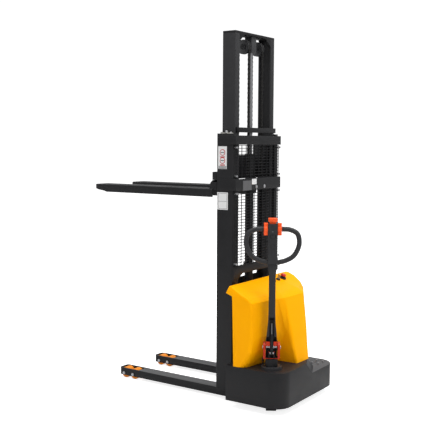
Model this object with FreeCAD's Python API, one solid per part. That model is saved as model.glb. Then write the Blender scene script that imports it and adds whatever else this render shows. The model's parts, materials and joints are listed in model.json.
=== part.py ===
"""Walkie stacker: electric pedestrian stacker with straddling legs and a two-stage mast.

Frame: +X is the truck's right, +Y points along the forks, +Z is up, millimetres.
The floor is z = 0. Inside this file y = 0 is the front face of the outer mast;
export() moves everything by Y_SHIFT, so that the origin of the finished part is
the bottom centre of its bounding box. The rest pose has the forks part raised,
the tiller upright and steered towards the left rear.
"""
import FreeCAD
import Part
import math
import os

V = FreeCAD.Vector

# ---------------------------------------------------------------- driving dimensions
CHASSIS_WIDTH = 800.0
CHASSIS_REAR = 583.0            # mast front to the chassis' rear face
CHASSIS_FRONT = 144.0           # mast front to the chassis' front wall
CHASSIS_CORNER_R = 115.0
SKIRT_BOTTOM = 51.0
DECK_TOP = 293.0
STEP_DECK_TOP = 211.0           # lowered deck over the caster, right rear
PLATE = 6.0

MAST_WIDTH = 608.0
OUTER_DEPTH = 131.0
OUTER_TOP = 1864.0
OUTER_WEB = 10.0
OUTER_FLANGE_T = 12.0
OUTER_FLANGE_W = 48.0
BASE_PLATE_T = 12.0
STAGE_GAP = 33.0                # outer web's inner face to the inner rail
INNER_CLEAR = 1.5               # inner rail to the outer flanges
INNER_WEB = 10.0
INNER_FLANGE_T = 10.0
INNER_FLANGE_W = 52.0
INNER_FOOT = 100.0              # inner rail's lower end when fully lowered
RAISE = 693.0                   # how far the inner mast stands raised at rest

LEG_X = 216.5                   # centre line of leg and fork
LEG_WIDTH = 100.0
LEG_TOP = 79.0
LEG_BOTTOM = 25.0
LEG_WALL = 7.0
LEG_REAR = 250.0                # how far the legs run back under the chassis
LOAD_WHEEL_R = 40.0
LOAD_WHEEL_W = 62.0
LOAD_AXLE_FRONT = 874.0         # mast front to the front load wheel's axle
LOAD_AXLE_R = 8.0

FORK_REACH = 1137.0             # mast front to the fork tip
FORK_HEEL = 45.0                # mast front to the fork's heel
FORK_WIDTH = 154.0
FORK_HEIGHT = 57.0
FORK_WALL = 6.0

CYLINDER_Y = -75.0
CYLINDER_R = 30.0
CYLINDER_BORE_R = 23.0
CYLINDER_TOP = 1724.0
ROD_R = 17.5
CHAIN_X = 89.0
CHAIN_R = 43.0                  # chain centre line over the chain wheel
CHAIN_W = 18.0
CHAIN_T = 12.0
CHAIN_WHEEL_DROP = 94.0         # inner mast top to the chain wheels' axis

TILLER_X = -275.0               # steering axis
TILLER_Y = -430.5
REST_STEER = -58.0              # tiller heading at rest, from straight back
TILT_PIN_Z = 434.0
RING_HALF = 176.0               # handle ring's half width, tube centre
RING_TUBE_R = 16.5
HEAD_TOP = 1268.0
DRIVE_WHEEL_R = 105.0
DRIVE_WHEEL_W = 70.0
CASTER_INSET = 112.0            # chassis side to the caster's swivel axis
CASTER_Y = -458.0
CASTER_WHEEL_R = 62.5
CASTER_WHEEL_W = 44.0
CASTER_TRAIL = 34.0

HOOD_HALF = 398.0
HOOD_WALL = 5.0

RUN_CLEAR = 0.05                # radial clearance of every running fit
GAP = 0.3                       # air between pieces that only nearly touch

# ---------------------------------------------------------------- derived dimensions
LOAD_AXLE_Y = (LOAD_AXLE_FRONT - 2 * LOAD_WHEEL_R - 6, LOAD_AXLE_FRONT)
LEG_REACH = LOAD_AXLE_FRONT + LOAD_WHEEL_R + 7      # mast front to the leg tip
FORK_LOWERED_TOP = 2 * LOAD_WHEEL_R + 17            # fork top with both stages down by RAISE
CASTER_X = CHASSIS_WIDTH / 2 - CASTER_INSET
WEB_X = MAST_WIDTH / 2 - OUTER_WEB                  # outer web's inner face
INNER_X = WEB_X - STAGE_GAP                         # inner rail's outer face
INNER_FRONT = -(OUTER_FLANGE_T + INNER_CLEAR)
INNER_REAR = -(OUTER_DEPTH - OUTER_FLANGE_T - INNER_CLEAR)
RAIL_MID = -OUTER_DEPTH / 2
RAIL_FOOT = LEG_TOP + BASE_PLATE_T
INNER_LOW = INNER_FOOT + RAISE
INNER_TOP = OUTER_TOP + RAISE
FORK_TOP = FORK_LOWERED_TOP + 2 * RAISE
FORK_LOW = FORK_TOP - FORK_HEIGHT
CHAIN_WHEEL_Z = INNER_TOP - CHAIN_WHEEL_DROP
HEADING = math.radians(REST_STEER)
REAR_REACH = -TILLER_Y + RING_HALF * abs(math.sin(HEADING)) + RING_TUBE_R
Y_SHIFT = (max(REAR_REACH, CHASSIS_REAR) - FORK_REACH) / 2


# ---------------------------------------------------------------- small helpers
def box(x0, x1, y0, y1, z0, z1):
    return Part.makeBox(x1 - x0, y1 - y0, z1 - z0, V(x0, y0, z0))


def rod(start, direction, radius, length):
    return Part.makeCylinder(radius, length, V(*start), V(*direction))


def rod_x(x0, x1, y, z, radius):
    return rod((x0, y, z), (1, 0, 0), radius, x1 - x0)


def rod_y(x, y0, y1, z, radius):
    return rod((x, y0, z), (0, 1, 0), radius, y1 - y0)


def rod_z(x, y, z0, z1, radius):
    return rod((x, y, z0), (0, 0, 1), radius, z1 - z0)


def prism(points, direction):
    """Flat closed outline of 3-D points pushed along a direction."""
    corners = [V(*p) for p in points]
    outline = Part.makePolygon(corners + [corners[0]])
    return Part.Face(outline).extrude(V(*direction))


def fuse(shapes):
    body = shapes[0]
    if len(shapes) > 1:
        body = body.multiFuse(shapes[1:])
    return body.removeSplitter()


def mirror_x(shape):
    return shape.mirror(V(0, 0, 0), V(1, 0, 0))


def pair(shape):
    """The shape and its mirror image on the other side, as separate solids."""
    return Part.makeCompound([shape, mirror_x(shape)])


def edges_along(shape, axis):
    """Straight edges of a shape that run along one axis."""
    picked = []
    for edge in shape.Edges:
        if isinstance(edge.Curve, Part.Line):
            way = edge.tangentAt(edge.FirstParameter)
            if abs(abs(way.dot(V(*axis))) - 1) < 1e-6:
                picked.append(edge)
    return picked


def rounded(shape, axis, radius, keep=None):
    """Fillet the edges along one axis; keep(edge centre) may choose among them."""
    picked = [e for e in edges_along(shape, axis) if keep is None or keep(e.CenterOfMass)]
    return shape.makeFillet(radius, picked)


def round_path(points, closed_radius):
    """Straight runs joined by tangent arcs of one radius, or less in a short run."""
    pts = [V(*p) for p in points]
    edges = []
    start = pts[0]
    for before, corner, after in zip(pts, pts[1:], pts[2:]):
        way_in = (corner - before).normalize()
        way_out = (after - corner).normalize()
        half_turn = way_in.getAngle(way_out) / 2
        runs = min((corner - before).Length, (after - corner).Length)
        radius = min(closed_radius, 0.45 * runs / math.tan(half_turn))
        back = radius * math.tan(half_turn)
        first = corner - way_in * back
        last = corner + way_out * back
        inward = (way_out - way_in).normalize()
        middle = corner + inward * (radius / math.cos(half_turn) - radius)
        edges.append(Part.LineSegment(start, first).toShape())
        edges.append(Part.Arc(first, middle, last).toShape())
        start = last
    edges.append(Part.LineSegment(start, pts[-1]).toShape())
    return Part.Wire(edges)


def tangent_arc(start, end, way):
    """The arc that leaves its start along a direction and ends at a point."""
    chord = end - start
    length = chord.Length
    along = chord * (1 / length)
    side = way - along * way.dot(along)
    if side.Length < 1e-6:
        return Part.makeLine(start, end)
    lean = math.atan2(side.Length, way.dot(along))
    side.normalize()
    middle = start + chord * 0.5 + side * (length / 2 * math.tan(lean / 2))
    return Part.Arc(start, middle, end).toShape()


def arc_chain(points, first_way, last_way):
    """A smooth wire through points in a plane: two tangent arcs from each point to the next."""
    ways = [(after - before).normalize() for before, after in zip(points, points[2:])]
    ways = [first_way] + ways + [last_way]
    edges = []
    for start, end, leaving, coming in zip(points, points[1:], ways, ways[1:]):
        chord = end - start
        turn = 2 * (1 - leaving.dot(coming))
        lean = chord.dot(leaving + coming)
        if turn < 1e-6:
            reach = chord.dot(chord) / (2 * lean)
        else:
            reach = (math.sqrt(lean * lean + turn * chord.dot(chord)) - lean) / turn
        before = start + leaving * reach
        after = end - coming * reach
        joint = (before + after) * 0.5
        edges.append(tangent_arc(start, joint, leaving))
        edges.append(tangent_arc(joint, end, (after - before).normalize()))
    return Part.Wire(edges)


def tube_along(path, radius):
    start = path.Edges[0]
    at = start.valueAt(start.FirstParameter)
    way = start.tangentAt(start.FirstParameter)
    profile = Part.Wire(Part.makeCircle(radius, at, way))
    return path.makePipeShell([profile], True, True)


def steered(shape):
    """From the tiller's own frame (heading -Y, axis at the origin) to its rest place."""
    turned = shape.copy()
    turned.rotate(V(0, 0, 0), V(0, 0, 1), REST_STEER)
    turned.translate(V(TILLER_X, TILLER_Y, 0))
    return turned


def export(node, shape):
    moved = shape.copy()
    moved.translate(V(0, Y_SHIFT, 0))
    for solid in moved.Solids:
        if not solid.isValid() or solid.Volume <= 0:
            raise ValueError(node + " has a bad solid")
    if not moved.Solids:
        raise ValueError(node + " has no solid")
    Part.makeCompound(moved.Solids).exportStep("parts/" + node + ".step")


# ---------------------------------------------------------------- chassis
CHEEK_SLOPE_X = 92.0            # the step's cheek leans this far over its height
STEP_CORNER = (-52.0, -CHASSIS_REAR + 5)            # where the cheek meets the rear face
STEP_BEND = (90.0, -CHASSIS_REAR + 71)
STEP_SIDE_Y = -300.0


def step_cutter(grow):
    """What is cut away above the lowered deck; grow widens it for the inner face."""
    right = CHASSIS_WIDTH / 2 + 50
    rear = -CHASSIS_REAR - 50
    slope = (STEP_BEND[1] - STEP_CORNER[1]) / (STEP_BEND[0] - STEP_CORNER[0])
    reach = (rear - STEP_CORNER[1]) / slope
    outline = [(STEP_CORNER[0] + reach, rear), STEP_BEND, (right, STEP_SIDE_Y + 34), (right, rear)]
    wires = []
    for height, lean in ((STEP_DECK_TOP - grow, CHEEK_SLOPE_X), (DECK_TOP + 40, -CHEEK_SLOPE_X * 0.45)):
        corners = [V(x + (lean - 2.4 * grow if x < right else 0), y + (grow if x < right else 0), height)
                   for x, y in outline]
        corners[2].y = outline[2][1] - lean * 0.4 + 1.5 * grow
        wires.append(Part.makePolygon(corners + [corners[0]]))
    return Part.makeLoft(wires, True, True)


def chassis_body():
    half = CHASSIS_WIDTH / 2
    rear_corner = lambda c: c.y < -CHASSIS_REAR + 2 * PLATE
    outer = box(-half, half, -CHASSIS_REAR, -CHASSIS_FRONT, SKIRT_BOTTOM, DECK_TOP)
    outer = rounded(outer, (0, 0, 1), CHASSIS_CORNER_R, rear_corner).cut(step_cutter(0))
    inner = box(-half + PLATE, half - PLATE, -CHASSIS_REAR + PLATE, -CHASSIS_FRONT - PLATE,
                SKIRT_BOTTOM - 1, DECK_TOP - PLATE)
    inner = rounded(inner, (0, 0, 1), CHASSIS_CORNER_R - PLATE, rear_corner).cut(step_cutter(PLATE))
    body = outer.cut(inner)
    body = body.cut(box(-half + PLATE, half - PLATE, -CHASSIS_FRONT - 2 * PLATE, -CHASSIS_FRONT + 1,
                        SKIRT_BOTTOM - 1, RAIL_FOOT))
    body = body.cut(rod_z(TILLER_X, TILLER_Y, STEP_DECK_TOP, DECK_TOP + 1, SLEW_R - 14))
    return body.cut(caster_bolt_shanks(CASTER_BOLT_R))


SLEW_R = 70.0


def slewing_ring():
    """Fixed outer ring of the steering bearing, bolted on the deck."""
    ring = rod_z(TILLER_X, TILLER_Y, DECK_TOP, DECK_TOP + 13, SLEW_R)
    ring = ring.cut(rod_z(TILLER_X, TILLER_Y, DECK_TOP - 1, DECK_TOP + 14, SLEW_R - 25))
    bolts = []
    for k in range(8):
        a = math.radians(45 * k)
        x = TILLER_X + (SLEW_R - 8) * math.cos(a)
        y = TILLER_Y + (SLEW_R - 8) * math.sin(a)
        bolts.append(rod_z(x, y, DECK_TOP + 13, DECK_TOP + 17, 4))
    return fuse([ring] + bolts)


# ---------------------------------------------------------------- legs and mast foot
def leg(side):
    """One hollow straddle leg with an open slot for its two tandem load wheels."""
    half = LEG_WIDTH / 2
    slot_rear = LOAD_AXLE_Y[0] - LOAD_WHEEL_R - 12
    slot_front = LOAD_AXLE_Y[1] + LOAD_WHEEL_R + 2
    tube = box(-half, half, -LEG_REAR, LEG_REACH, LEG_BOTTOM, LEG_TOP)
    tube = rounded(tube, (0, 0, 1), 24, lambda c: c.y > LEG_REACH - 1)
    tube = tube.cut(box(-half + LEG_WALL, half - LEG_WALL, -LEG_REAR - 1, slot_rear - 20,
                        LEG_BOTTOM + LEG_WALL, LEG_TOP - LEG_WALL))
    slot = box(-half + LEG_WALL + 2, half - LEG_WALL - 2, slot_rear, slot_front, LEG_BOTTOM - 1, LEG_TOP + 1)
    tube = tube.cut(rounded(slot, (0, 0, 1), 16, lambda c: c.y > slot_front - 1))
    for y in LOAD_AXLE_Y:
        tube = tube.cut(rod_x(-half - 1, half + 1, y, LOAD_WHEEL_R, LOAD_AXLE_R))
    tube.translate(V(side * LEG_X, 0, 0))
    return tube


def leg_frame():
    """Both legs, the beams between them and the plate under the mast, welded."""
    half = MAST_WIDTH / 2
    inner = LEG_X - LEG_WIDTH / 2
    beams = [
        box(-inner, inner, -OUTER_DEPTH, -20, LEG_BOTTOM, LEG_TOP),
        box(-inner, inner, -LEG_REAR, -LEG_REAR + 40, LEG_BOTTOM, LEG_TOP),
        box(-half, half, -CHASSIS_FRONT - PLATE, 0, LEG_TOP, RAIL_FOOT),
    ]
    return fuse([leg(-1), leg(1)] + beams)


def load_wheel(side, axle_y):
    """Polyurethane tandem roller on its steel hub."""
    x = side * LEG_X
    half = LOAD_WHEEL_W / 2
    tyre = rod_x(x - half, x + half, axle_y, LOAD_WHEEL_R, LOAD_WHEEL_R)
    tyre = tyre.makeFillet(3, [e for e in tyre.Edges if e.Length > 200 and isinstance(e.Curve, Part.Circle)])
    tyre = tyre.cut(rod_x(x - half - 1, x + half + 1, axle_y, LOAD_WHEEL_R, LOAD_WHEEL_R - 13))
    hub = rod_x(x - half - 4, x + half + 4, axle_y, LOAD_WHEEL_R, LOAD_WHEEL_R - 13)
    hub = hub.cut(rod_x(x - half - 5, x + half + 5, axle_y, LOAD_WHEEL_R, LOAD_AXLE_R + RUN_CLEAR))
    return Part.makeCompound([tyre, hub])


def load_wheel_axles():
    """Axle bolts with a head at each outside face of the legs."""
    half = LEG_WIDTH / 2
    axles = []
    for side in (-1, 1):
        for y in LOAD_AXLE_Y:
            x = side * LEG_X
            shank = rod_x(x - half, x + half, y, LOAD_WHEEL_R, LOAD_AXLE_R)
            heads = [rod_x(x - half - 5, x - half, y, LOAD_WHEEL_R, 11),
                     rod_x(x + half, x + half + 5, y, LOAD_WHEEL_R, 11)]
            axles.append(fuse([shank] + heads))
    return Part.makeCompound(axles)


# ---------------------------------------------------------------- outer mast
def channel(outer_x, web, flange_t, flange_w, y0, y1, z0, z1):
    """C-section rail on the right side, web outwards and flanges inwards."""
    rail = box(outer_x - flange_w, outer_x, y0, y1, z0, z1)
    rail = rounded(rail, (0, 0, 1), 5, lambda c: c.x > outer_x - 1)
    return rail.cut(box(outer_x - flange_w - 1, outer_x - web, y0 + flange_t, y1 - flange_t, z0 - 1, z1 + 1))


def outer_rails():
    return pair(channel(MAST_WIDTH / 2, OUTER_WEB, OUTER_FLANGE_T, OUTER_FLANGE_W,
                        -OUTER_DEPTH, 0, RAIL_FOOT, OUTER_TOP))


BAND_SIDE_T = 5.0
BAND_PLATE_T = 12.0
BAND_STANDOFF = 13.0            # outer rails' rear face to the band's rear plate
BANDS = ((1475.0, 1555.0), (1789.0, 1851.0))
LOW_TIE = (897.0, 952.0)


def mast_bands():
    """Two U-shaped straps around the rear of the outer mast."""
    half = MAST_WIDTH / 2
    rear = -OUTER_DEPTH - BAND_STANDOFF
    bands = []
    for z0, z1 in BANDS:
        strap = box(-half - BAND_SIDE_T, half + BAND_SIDE_T, rear - BAND_PLATE_T, -8, z0, z1)
        strap = rounded(strap, (0, 0, 1), 8, lambda c: c.y < rear)
        strap = strap.cut(box(-half, half, rear, 0, z0 - 1, z1 + 1))
        bands.append(strap)
    return bands


def low_tie():
    """Lower cross-member with its gussets and the clamp around the lift cylinder."""
    half = MAST_WIDTH / 2
    inner = half - OUTER_FLANGE_W
    z0, z1 = LOW_TIE
    rear = -OUTER_DEPTH - 12
    beam = box(-half, half, rear, -OUTER_DEPTH, z0, z1)
    arm = box(-38, 38, -OUTER_DEPTH, CYLINDER_Y, z0 + 8, z1 - 8)
    ring = rod_z(0, CYLINDER_Y, z0 + 8, z1 - 8, CYLINDER_R + 10)
    hole = rod_z(0, CYLINDER_Y, z0 - 1, z1 + 1, CYLINDER_R)
    pieces = [beam, arm.fuse(ring).cut(hole)]
    for side in (-1, 1):
        tip = [(side * half, rear, z0), (side * (inner - 70), rear, z0), (side * inner, rear, z0 - 36),
               (side * half, rear, z0 - 36)]
        pieces.append(prism(tip, (0, 12, 0)))
    return fuse(pieces)


def wear_pads():
    """Nylon pads at the top of the outer rails that guide the inner rails' webs."""
    pad = box(INNER_X + GAP, WEB_X, RAIL_MID - 38, RAIL_MID + 38, OUTER_TOP - 70, OUTER_TOP + 6)
    return pair(pad)


GUARD_WIRE = 4.0
GUARD_HALF = 290.0
GUARD_PITCH_Z = 19.0
GUARD_PITCH_X = 55.0
GUARD_Y = -148.0                # between the two layers of wires


def guard_spans():
    """Height ranges of the two mesh panels, between the cross-members."""
    return ((LOW_TIE[1] + 4, BANDS[0][0] - 3), (BANDS[0][1] + 3, BANDS[1][0] - 3))


def mesh_guard():
    """Welded wire mesh panels that keep hands out of the moving mast."""
    wires = []
    t = GUARD_WIRE
    for z0, z1 in guard_spans():
        rows = int((z1 - z0 - t) / GUARD_PITCH_Z)
        for k in range(rows + 1):
            z = z0 + (z1 - z0 - t) * k / rows
            wires.append(box(-GUARD_HALF, GUARD_HALF, GUARD_Y, GUARD_Y + t, z, z + t))
        columns = int(2 * (GUARD_HALF - 12) / GUARD_PITCH_X)
        for k in range(columns + 1):
            x = -GUARD_HALF + 10 + (2 * (GUARD_HALF - 10) - t) * k / columns
            wires.append(box(x, x + t, GUARD_Y - t, GUARD_Y, z0, z1))
    return Part.makeCompound(wires)


def guard_clips():
    """Screws and spacers that hold the mesh panels on the outer rails."""
    clips = []
    for z0, z1 in guard_spans():
        for z in (z0 + 16.5, z1 - 16.5):
            for side in (-1, 1):
                x = side * (MAST_WIDTH / 2 - 24)
                spacer = rod_y(x, GUARD_Y + GUARD_WIRE, -OUTER_DEPTH, z, 7)
                clips.append(spacer)
                head = rod_y(x + side * 9, GUARD_Y - 10, GUARD_Y - GUARD_WIRE, z, 7)
                clips.append(head)
    return Part.makeCompound(clips)


# ---------------------------------------------------------------- lift cylinder and chains
PORT_Z = 150.0
PORT_UP = DECK_TOP + 60       # outlet height of the hydraulic power unit


def lift_cylinder_tube():
    """Cylinder barrel with its foot, its gland and the oil port's elbow."""
    barrel = rod_z(0, CYLINDER_Y, RAIL_FOOT, CYLINDER_TOP - 40, CYLINDER_R)
    gland = rod_z(0, CYLINDER_Y, CYLINDER_TOP - 40, CYLINDER_TOP, CYLINDER_R + 4)
    elbow = box(-11, 11, -OUTER_DEPTH - 4, CYLINDER_Y, PORT_Z - 12, PORT_Z + 12)
    body = fuse([barrel, gland, elbow])
    body = body.cut(rod_z(0, CYLINDER_Y, RAIL_FOOT + 12, CYLINDER_TOP - 42, CYLINDER_BORE_R))
    return body.cut(rod_z(0, CYLINDER_Y, CYLINDER_TOP - 43, CYLINDER_TOP + 1, ROD_R + RUN_CLEAR))


PISTON_T = 40.0


def piston_rod():
    foot = RAIL_FOOT + 20 + RAISE
    piston = rod_z(0, CYLINDER_Y, foot, foot + PISTON_T, CYLINDER_BORE_R - RUN_CLEAR)
    shaft = rod_z(0, CYLINDER_Y, foot + PISTON_T, CHAIN_WHEEL_Z - 33, ROD_R)
    return fuse([piston, shaft])


def rod_head():
    """Block on top of the piston rod: it carries the chain wheels' axle and the top beam."""
    z = CHAIN_WHEEL_Z
    block = box(-32, 32, CYLINDER_Y - 30, CYLINDER_Y + 30, z - 33, INNER_TOP - 16)
    block = rounded(block, (0, 0, 1), 6)
    axle = rod_x(-CHAIN_X - 22, CHAIN_X + 22, CYLINDER_Y, z, 12.5)
    collars = [rod_x(s * (CHAIN_X + 18) - 4, s * (CHAIN_X + 18) + 4, CYLINDER_Y, z, 18) for s in (-1, 1)]
    return fuse([block, axle] + collars)


def chain_wheels():
    """The two flanged wheels that the lift chains run over."""
    x = CHAIN_X
    groove = CHAIN_R - CHAIN_T / 2 - GAP
    core = rod_x(x - 13, x + 13, CYLINDER_Y, CHAIN_WHEEL_Z, CHAIN_R + 7)
    channel_cut = rod_x(x - CHAIN_W / 2 - 0.5, x + CHAIN_W / 2 + 0.5, CYLINDER_Y, CHAIN_WHEEL_Z, CHAIN_R + 8)
    channel_cut = channel_cut.cut(rod_x(x - 20, x + 20, CYLINDER_Y, CHAIN_WHEEL_Z, groove))
    wheel = core.cut(channel_cut)
    wheel = wheel.cut(rod_x(x - 20, x + 20, CYLINDER_Y, CHAIN_WHEEL_Z, 12.5 + RUN_CLEAR))
    return pair(wheel)


def chain_wraps():
    """The part of each chain that lies over its wheel."""
    x0 = CHAIN_X - CHAIN_W / 2
    ring = rod_x(x0, x0 + CHAIN_W, CYLINDER_Y, CHAIN_WHEEL_Z, CHAIN_R + CHAIN_T / 2)
    ring = ring.cut(rod_x(x0 - 1, x0 + CHAIN_W + 1, CYLINDER_Y, CHAIN_WHEEL_Z, CHAIN_R - CHAIN_T / 2))
    half = CHAIN_R + CHAIN_T
    upper = box(x0 - 1, x0 + CHAIN_W + 1, CYLINDER_Y - half, CYLINDER_Y + half, CHAIN_WHEEL_Z,
                CHAIN_WHEEL_Z + half)
    return pair(ring.common(upper))


ANCHOR_Z = 1500.0
ANCHOR_T = 20.0


def chain_run(y, z0, z1):
    half_w = CHAIN_W / 2
    half_t = CHAIN_T / 2
    return pair(box(CHAIN_X - half_w, CHAIN_X + half_w, y - half_t, y + half_t, z0, z1))


def rear_chain_runs():
    return chain_run(CYLINDER_Y - CHAIN_R, ANCHOR_Z + ANCHOR_T + 30, CHAIN_WHEEL_Z)


def front_chain_runs():
    return chain_run(CYLINDER_Y + CHAIN_R, CARRIAGE_LUG_TOP + 30, CHAIN_WHEEL_Z)


def chain_anchors():
    """Clamp on the cylinder barrel with the two threaded chain anchors."""
    y = CYLINDER_Y - CHAIN_R
    z0 = ANCHOR_Z
    z1 = ANCHOR_Z + ANCHOR_T
    bar = box(-CHAIN_X - 14, CHAIN_X + 14, y - 8, y + 14, z0, z1)
    ring = rod_z(0, CYLINDER_Y, z0, z1, CYLINDER_R + 9)
    body = fuse([bar, ring]).cut(rod_z(0, CYLINDER_Y, z0 - 1, z1 + 1, CYLINDER_R))
    bolts = []
    for side in (-1, 1):
        bolts.append(rod_z(side * CHAIN_X, y, z0 - 28, z1 + 30, 7))
        bolts.append(rod_z(side * CHAIN_X, y, z0 - 12, z0, 7.8 + 4))
    return fuse([body] + bolts)


# ---------------------------------------------------------------- inner mast
def inner_rails():
    rail = channel(INNER_X, INNER_WEB, INNER_FLANGE_T, INNER_FLANGE_W, INNER_REAR, INNER_FRONT,
                   INNER_LOW, INNER_TOP - 16)
    pin = rod_x(INNER_X - 1, WEB_X - 2, RAIL_MID, INNER_ROLLER_Z, 15)
    return pair(fuse([rail, pin]))


INNER_ROLLER_Z = INNER_LOW + 60
INNER_ROLLER_R = OUTER_DEPTH / 2 - OUTER_FLANGE_T - 1.0
INNER_BAR_Y = -OUTER_DEPTH - BAND_STANDOFF + 2      # rear face of the mid cross-bar
MID_BAR = (1872.0, 1906.0)


def inner_crossbars():
    """Top beam, slim mid bar behind the chains and bottom bar of the inner mast."""
    top = box(-INNER_X, INNER_X, INNER_REAR, INNER_FRONT, INNER_TOP - 16, INNER_TOP)
    top = rounded(top, (0, 0, 1), 5)
    inside = INNER_X - INNER_WEB
    flange_edge = INNER_X - INNER_FLANGE_W
    tips = [(flange_edge, INNER_REAR, INNER_TOP - 16), (flange_edge - 70, INNER_REAR, INNER_TOP - 16),
            (flange_edge, INNER_REAR, INNER_TOP - 70)]
    gusset = prism(tips, (0, 8, 0))
    pads = [box(s * 66 - 24, s * 66 + 24, CYLINDER_Y - 20, CYLINDER_Y + 20, INNER_TOP - 24, INNER_TOP - 16)
            for s in (-1, 1)]
    bar_x = INNER_X - 12
    z0, z1 = MID_BAR
    middle = box(-bar_x, bar_x, INNER_BAR_Y, INNER_BAR_Y + 12, z0, z1)
    ends = [box(bar_x - 30, bar_x, INNER_BAR_Y + 12, INNER_REAR, z0, z1)]
    ends.append(mirror_x(ends[0]))
    low = box(-inside, inside, INNER_FRONT - 20, INNER_FRONT - INNER_FLANGE_T, INNER_LOW, INNER_LOW + 50)
    return Part.makeCompound([fuse([top, gusset, mirror_x(gusset)] + pads), fuse([middle] + ends), low])


def roller_pair(x0, x1, z, radius, bore):
    """Guide rollers of one level, left and right, which turn together."""
    wheel = rod_x(x0, x1, RAIL_MID, z, radius)
    wheel = wheel.cut(rod_x(x0 - 1, x1 + 1, RAIL_MID, z, bore + RUN_CLEAR))
    return pair(wheel)


def inner_rollers():
    return roller_pair(INNER_X + 2, WEB_X - 4, INNER_ROLLER_Z, INNER_ROLLER_R, 15)


# ---------------------------------------------------------------- carriage and forks
CHEEK_X = 204.0
CHEEK_T = 18.0
CARRIAGE_ROLLER_R = (INNER_FRONT - INNER_REAR) / 2 - INNER_FLANGE_T - 1.0
LOWER_BAR = (FORK_TOP - 6, FORK_TOP + 48)
UPPER_BAR = (FORK_TOP + 62, FORK_TOP + 118)
CARRIAGE_ROLLER_Z = (FORK_TOP + 118, FORK_TOP + 236)
CARRIAGE_TOP = FORK_TOP + 318
CARRIAGE_PLATE_TOP = FORK_TOP + 231
CARRIAGE_LUG_TOP = FORK_TOP + 160
BAR_HALF = 287.0


def carriage_frame():
    """Two front bars and a plate, two roller cheeks and the bar that the chains pull on."""
    front = 12.0
    bars = [box(-BAR_HALF, BAR_HALF, front, FORK_HEEL, *LOWER_BAR),
            box(-BAR_HALF, BAR_HALF, front, FORK_HEEL + 4, *UPPER_BAR),
            box(-CHEEK_X, CHEEK_X, front, front + 6, UPPER_BAR[1], CARRIAGE_PLATE_TOP)]
    cheeks = []
    for side in (-1, 1):
        x0, x1 = sorted((side * CHEEK_X, side * (CHEEK_X - CHEEK_T)))
        outline = [(x0, front, LOWER_BAR[0]), (x0, front, CARRIAGE_TOP - 14), (x0, -8, CARRIAGE_TOP),
                   (x0, -104, CARRIAGE_TOP), (x0, -104, UPPER_BAR[0] + 4), (x0, -9, UPPER_BAR[0] + 4),
                   (x0, -9, LOWER_BAR[0] + 18), (x0, 3, LOWER_BAR[0] + 18), (x0, 3, LOWER_BAR[0])]
        cheeks.append(prism(outline, (x1 - x0, 0, 0)))
        for z in CARRIAGE_ROLLER_Z:
            start = side * (CHEEK_X - 1)
            end = side * (INNER_X - INNER_WEB - 3)
            cheeks.append(rod_x(min(start, end), max(start, end), RAIL_MID, z, 14))
    inside = CHEEK_X - CHEEK_T
    lug_rear = CYLINDER_Y + CYLINDER_R + 12
    lug = box(-inside, inside, lug_rear, -19, CARRIAGE_LUG_TOP - 30, CARRIAGE_LUG_TOP)
    anchors = [rod_z(s * CHAIN_X, CYLINDER_Y + CHAIN_R, CARRIAGE_LUG_TOP, CARRIAGE_LUG_TOP + 30 - GAP, 7)
               for s in (-1, 1)]
    return fuse(bars + cheeks + [lug] + anchors)


def carriage_rollers(level):
    return roller_pair(CHEEK_X + 2, INNER_X - INNER_WEB - 2, CARRIAGE_ROLLER_Z[level],
                       CARRIAGE_ROLLER_R, 14)


def fork(side):
    """Fork arm: an inverted channel that closes over the leg, and its short shank."""
    half = FORK_WIDTH / 2
    tip = FORK_REACH
    low = FORK_LOW
    profile = [(FORK_HEEL, low), (tip - 119, low), (tip - 98, low + 7), (tip - 6, low + 20), (tip, low + 27),
               (tip, FORK_TOP - 5), (tip - 4, FORK_TOP), (FORK_HEEL, FORK_TOP)]
    outer = prism([(-half, y, z) for y, z in profile], (2 * half, 0, 0))
    outer = rounded(outer, (0, 1, 0), 7, lambda c: c.z > FORK_TOP - 1)
    nose = half - 16
    for s in (-1, 1):
        cut = prism([(s * half, tip - 40, low - 1), (s * half, tip + 1, low - 1), (s * nose, tip + 1, low - 1)],
                    (0, 0, FORK_HEIGHT + 2))
        outer = outer.cut(cut)
    hollow = box(-half + FORK_WALL, half - FORK_WALL, FORK_HEEL - 1, tip - 84, low - 1, FORK_TOP - FORK_WALL)
    blade = outer.cut(hollow)
    side_view = [(FORK_HEEL, FORK_TOP - FORK_WALL), (FORK_HEEL + 34, FORK_TOP - FORK_WALL),
                 (FORK_HEEL + 24, FORK_TOP + 44), (FORK_HEEL + 6, FORK_TOP + 60), (FORK_HEEL, FORK_TOP + 60)]
    shank = prism([(-half + 12, y, z) for y, z in side_view], (FORK_WIDTH - 24, 0, 0))
    shank_low = UPPER_BAR[0]
    keep = box(-half, half, FORK_HEEL + 4, tip, 0, FORK_TOP + 200)
    upper = shank.common(keep.fuse(box(-half, half, FORK_HEEL, tip, 0, shank_low)))
    body = fuse([blade, upper])
    body.translate(V(side * LEG_X, 0, 0))
    return body


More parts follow.
